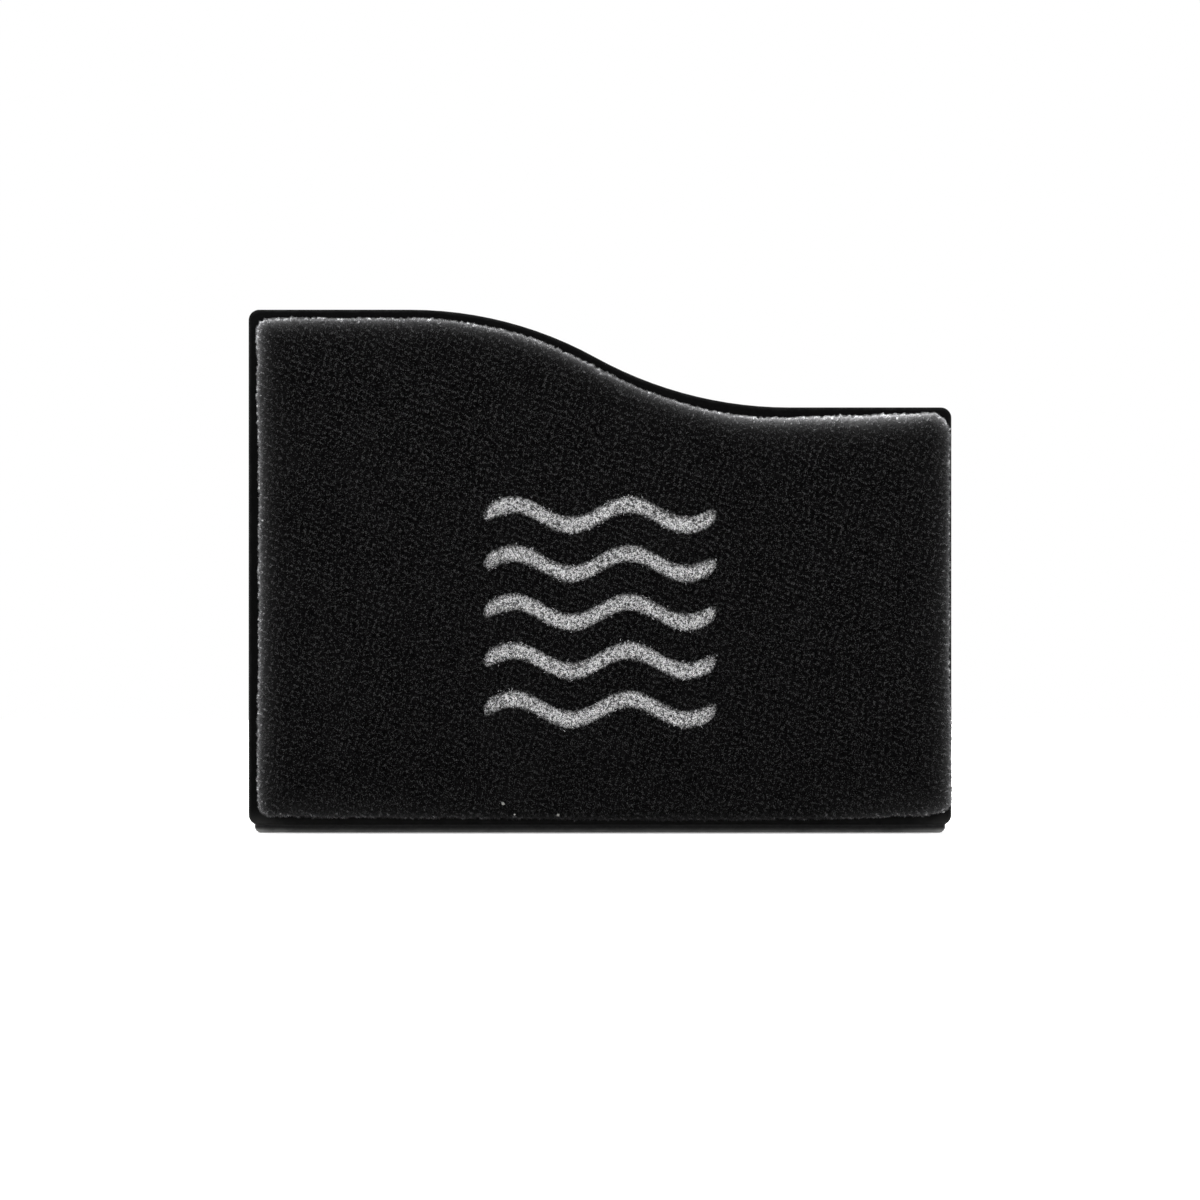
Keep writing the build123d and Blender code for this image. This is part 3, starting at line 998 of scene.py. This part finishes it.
def lamp(name, place, size, watts):
    """A soft square lamp that faces the object."""
    data = bpy.data.lights.new(name, "AREA")
    data.shape = "SQUARE"
    data.size = size
    data.energy = watts
    made = placed(name, data)
    made.location = place
    made.rotation_euler = (Vector(AIM) - Vector(place)).to_track_quat("-Z", "Y").to_euler()


def shown_directly(tree):
    """1 for rays from the camera and for those that a gloss or a clear part sends on."""
    path = add(tree, "ShaderNodeLightPath").outputs
    either = sums(tree, "MAXIMUM", path["Is Camera Ray"], path["Is Glossy Ray"])
    return sums(tree, "MAXIMUM", either, path["Is Transmission Ray"])


def floor_material():
    """Matt floor that shows white but for the object's shadow, and throws little light back up."""
    made, tree, shader, place = material("studio_floor")
    shown = shown_directly(tree)
    dim = span(tree, noise(tree, place, 0.004, 3.0), 0.3, 0.7, 0.22, 0.26)
    away = add(tree, "ShaderNodeVectorMath", {0: place}, operation="LENGTH").outputs["Value"]
    glow = times(tree, shown, span(tree, away, 150.0, 500.0, 0.45, 1.0, smooth=True))
    surface(tree, shader, {
        "Base Color": grey(tree, plus(tree, dim, times(tree, shown, 0.52))),
        "Roughness": 1.0,
        "Specular IOR Level": 0.0,
        "Emission Color": grey(tree, glow),
        "Emission Strength": 1.0,
    })
    return made


def build_floor(stage):
    """A wide square floor."""
    shape = bmesh.new()
    bmesh.ops.create_grid(shape, x_segments=20, y_segments=20, size=stage.floor_size / 2)
    return from_bmesh("floor", shape, floor_material())


def build_world(stage):
    """Plain light from all round, which shows white behind the object."""
    world = bpy.data.worlds.new("studio")
    world.use_nodes = True
    tree = world.node_tree
    strength = sums(tree, "MAXIMUM", shown_directly(tree), stage.room_light)
    surface(tree, tree.nodes["Background"], {"Color": (1.0, 1.0, 1.0, 1.0), "Strength": strength})
    bpy.context.scene.world = world


def build_camera(stage):
    """Long lens level with the middle of the object, square to the pad."""
    face_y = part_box("pad_plate")[0].y
    data = bpy.data.cameras.new("camera")
    data.sensor_width = SENSOR
    data.lens = SENSOR * stage.camera_distance / stage.view_width
    data.clip_end = 20.0
    camera = placed("camera", data)
    camera.location = (0.0, face_y - stage.camera_distance, stage.view_height)
    camera.rotation_euler = (math.radians(90), 0.0, 0.0)
    bpy.context.scene.camera = camera


# ------------ operators


def dress(node, made):
    """Gives a CAD node its material, in its object's own slot."""
    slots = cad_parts[node].material_slots
    slots[0].link = "OBJECT"
    slots[0].material = made


class ERASER_OT_grip(bpy.types.Operator):
    """Dresses the moulded grip shell"""

    bl_idname = "eraser.grip"
    bl_label = "Dress Grip"

    def execute(self, context):
        kit = context.scene.eraser_plastic
        dress("grip_shell", moulded_plastic(
            "grip_plastic_textured", kit.grip_colour, kit.wear_colour, kit.grip_roughness, gloss=0.2,
            grain_size=kit.grain_size, grain_depth=kit.grain_depth,
            # Painted light in a band up to 1 mm above the floor: a painted reflection of the floor along the
            # grip's foot, under a thin glossy coat.
            dust=0.06, painted_foot_light=1.0, painted_foot_light_height=1.0 * MM, rounded=True,
        ))
        return {"FINISHED"}


class ERASER_OT_plate(bpy.types.Operator):
    """Dresses the carrier plate"""

    bl_idname = "eraser.plate"
    bl_label = "Dress Plate"

    def execute(self, context):
        kit = context.scene.eraser_plastic
        dress("pad_plate", moulded_plastic(
            "plate_plastic_smooth", kit.plate_colour, kit.wear_colour, kit.plate_roughness, gloss=0.03,
            grain_size=kit.grain_size * 0.4, grain_depth=kit.grain_depth * 0.15,
            # A faint band of painted light, up to 4.5 mm above the floor, lightens the plate below the pad,
            # where the pad shades it.
            dust=0.05, painted_foot_light=0.04, painted_foot_light_height=4.5 * MM, rounded=False,
        ))
        return {"FINISHED"}


class ERASER_OT_inside(bpy.types.Operator):
    """Dresses the foam, the board, the adhesive, the screws and the magnets inside"""

    bl_idname = "eraser.inside"
    bl_label = "Dress Inner Pieces"

    def execute(self, context):
        dress("foam_core", open_foam("core_foam", (0.05, 0.05, 0.052), cell_size=0.6 * MM))
        dress("adhesive_sheet", open_foam("adhesive_tape", (0.7, 0.7, 0.66), cell_size=0.3 * MM))
        dress("backing_board", pressed_board("fibre_board", (0.32, 0.24, 0.16)))
        dress("plate_screws", steel("zinc_steel", (0.55, 0.56, 0.58), roughness=0.32, scratch=0.01 * MM))
        plated = steel("nickel_plate", (0.62, 0.60, 0.56), roughness=0.2, scratch=0.006 * MM)
        for name in ("magnet_left", "magnet_right"):
            dress(name, plated)
        return {"FINISHED"}


class ERASER_OT_pad(bpy.types.Operator):
    """Builds the soft pad with its rounded edge, its clumped cloth and its print"""

    bl_idname = "eraser.pad"
    bl_label = "Build Pad"

    def execute(self, context):
        cover = build_pad(context.scene.eraser_pad)
        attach(cover, BODY)
        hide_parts("pile_cover")
        return {"FINISHED"}


class ERASER_OT_nap(bpy.types.Operator):
    """Builds the nap: the fibres that stand on the pad"""

    bl_idname = "eraser.nap"
    bl_label = "Build Nap"

    def execute(self, context):
        cover = context.scene.objects.get("pad_cover")
        if cover is None:
            raise RuntimeError("build the pad before its nap")
        for piece in build_nap(cover, context.scene.eraser_pad):
            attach(piece, BODY)
        return {"FINISHED"}


class ERASER_OT_crumbs(bpy.types.Operator):
    """Adds the crumbs of chalk caught in the nap"""

    bl_idname = "eraser.crumbs"
    bl_label = "Add Chalk Crumbs"

    def execute(self, context):
        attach(build_crumbs(), BODY)
        return {"FINISHED"}


class ERASER_OT_stage(bpy.types.Operator):
    """Sets the floor, the lamps, the room's light and the camera"""

    bl_idname = "eraser.stage"
    bl_label = "Set Stage"

    def execute(self, context):
        stage = context.scene.eraser_stage
        context.scene.view_settings.view_transform = "Standard"
        build_floor(stage)
        build_world(stage)
        for name, (place, size, watts, setting) in LAMPS.items():
            lamp(name, place, size, watts * getattr(stage, setting))
        build_camera(stage)
        return {"FINISHED"}


SETTINGS = {
    "eraser_plastic": EraserPlasticSettings,
    "eraser_pad": EraserPadSettings,
    "eraser_stage": EraserStageSettings,
}

OPERATORS = (
    ERASER_OT_grip,
    ERASER_OT_plate,
    ERASER_OT_inside,
    ERASER_OT_pad,
    ERASER_OT_nap,
    ERASER_OT_crumbs,
    ERASER_OT_stage,
)


class ERASER_PT_tools(bpy.types.Panel):
    """Lists the steps that dress the eraser, with their settings"""

    bl_idname = "ERASER_PT_tools"
    bl_label = "Board Eraser"
    bl_space_type = "VIEW_3D"
    bl_region_type = "UI"
    bl_category = "Eraser"

    def draw(self, context):
        column = self.layout.column()
        for operator in OPERATORS:
            column.operator(operator.bl_idname)
        for group in SETTINGS:
            settings = getattr(context.scene, group)
            box = self.layout.box()
            for name in settings.__annotations__:
                box.prop(settings, name)


CLASSES = (*SETTINGS.values(), *OPERATORS, ERASER_PT_tools)


def register():
    """Registers the classes and gives each scene its settings."""
    for one in CLASSES:
        bpy.utils.register_class(one)
    for name, group in SETTINGS.items():
        setattr(bpy.types.Scene, name, PointerProperty(type=group))


def unregister():
    """Takes the settings and the classes away again."""
    for name in SETTINGS:
        delattr(bpy.types.Scene, name)
    for one in reversed(CLASSES):
        bpy.utils.unregister_class(one)


def main():
    """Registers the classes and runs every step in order."""
    register()
    bpy.ops.eraser.grip()
    bpy.ops.eraser.plate()
    bpy.ops.eraser.inside()
    bpy.ops.eraser.pad()
    bpy.ops.eraser.nap()
    bpy.ops.eraser.crumbs()
    bpy.ops.eraser.stage()
    bpy.context.view_layer.update()


if __name__ == "__main__":
    main()
